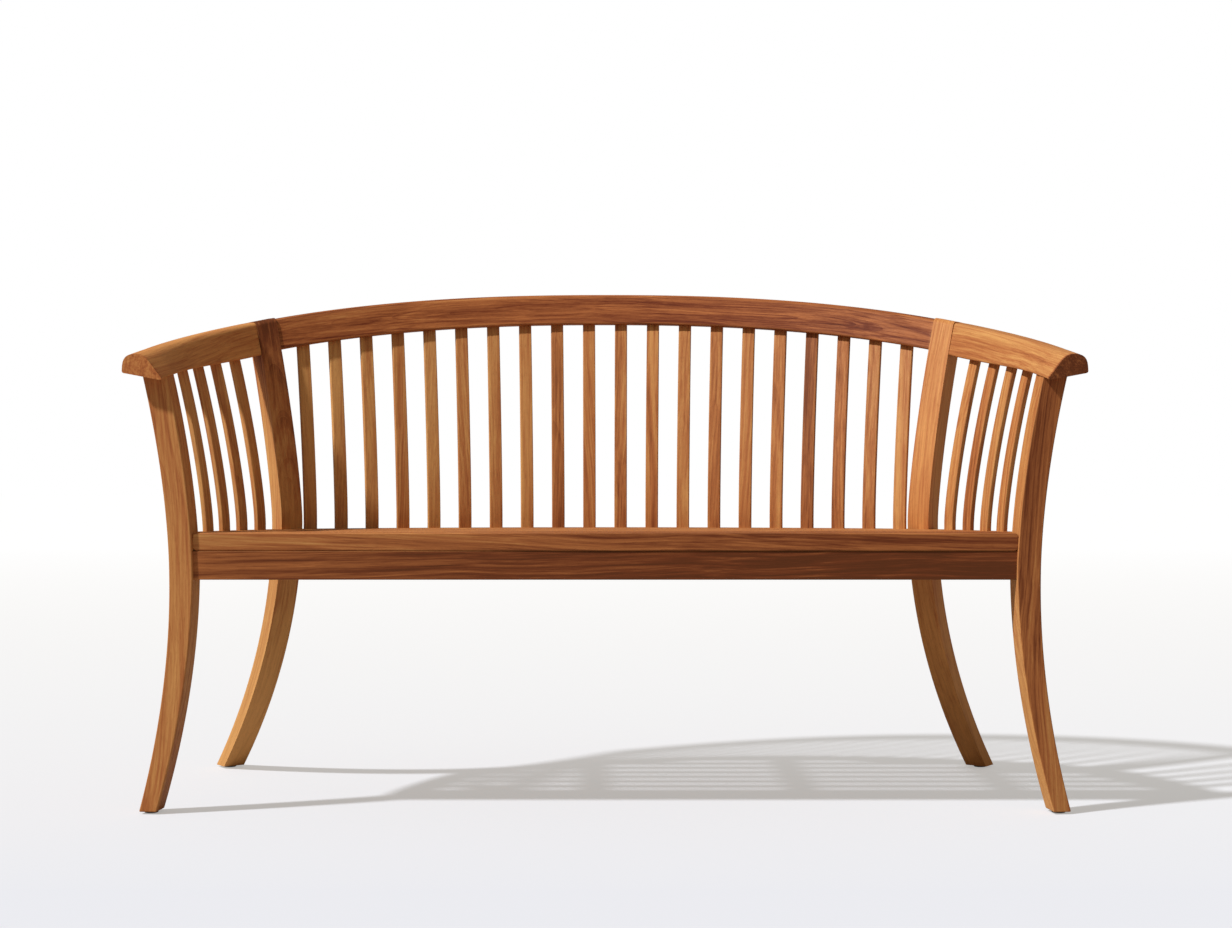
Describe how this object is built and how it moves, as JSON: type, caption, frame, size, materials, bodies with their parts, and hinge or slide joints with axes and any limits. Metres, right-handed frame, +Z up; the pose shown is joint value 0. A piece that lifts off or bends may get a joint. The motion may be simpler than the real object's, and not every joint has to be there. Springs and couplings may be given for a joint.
{
  "type": "garden bench",
  "caption": "Curved slatted garden bench in teak with sabre legs, a slatted seat and arms that flow from the back rail.",
  "frame": {"origin": "on the ground, under the middle of the bench", "axes": "+X to the right seen from the front, +Y to the back, +Z up"},
  "size_m": [1.5418, 0.632, 0.884],
  "materials": {
    "teak": "oiled teak, satin",
    "dark_pad": "dull moulded pad"
  },
  "bodies": {
    "root": {"front_leg_right": "teak", "front_leg_left": "teak", "rear_leg_right": "teak", "rear_leg_left": "teak", "crest_rail": "teak", "arm_rail_right": "teak", "arm_rail_left": "teak", "back_slat_01": "teak", "back_slat_02": "teak", "back_slat_03": "teak", "back_slat_04": "teak", "back_slat_05": "teak", "back_slat_06": "teak", "back_slat_07": "teak", "back_slat_08": "teak", "back_slat_09": "teak", "back_slat_10": "teak", "back_slat_11": "teak", "back_slat_12": "teak", "back_slat_13": "teak", "back_slat_14": "teak", "back_slat_15": "teak", "back_slat_16": "teak", "back_slat_17": "teak", "back_slat_18": "teak", "back_slat_19": "teak", "back_slat_20": "teak", "side_slat_right_1": "teak", "side_slat_left_1": "teak", "side_slat_right_2": "teak", "side_slat_left_2": "teak", "side_slat_right_3": "teak", "side_slat_left_3": "teak", "side_slat_right_4": "teak", "side_slat_left_4": "teak", "rear_seat_rail": "teak", "side_seat_rail_right": "teak", "side_seat_rail_left": "teak", "front_apron": "teak", "front_seat_board": "teak", "seat_slat_1": "teak", "seat_slat_2": "teak", "seat_slat_3": "teak", "seat_slat_4": "teak", "seat_slat_5": "teak", "seat_slat_6": "teak", "seat_slat_7": "teak", "seat_bearer_left": "teak", "seat_bearer_centre": "teak", "seat_bearer_right": "teak", "bolt_cover_right": "teak", "bolt_cover_left": "teak", "foot_glide_front_right": "dark_pad", "foot_glide_front_left": "dark_pad", "foot_glide_rear_right": "dark_pad", "foot_glide_rear_left": "dark_pad"}
  },
  "joints": []
}
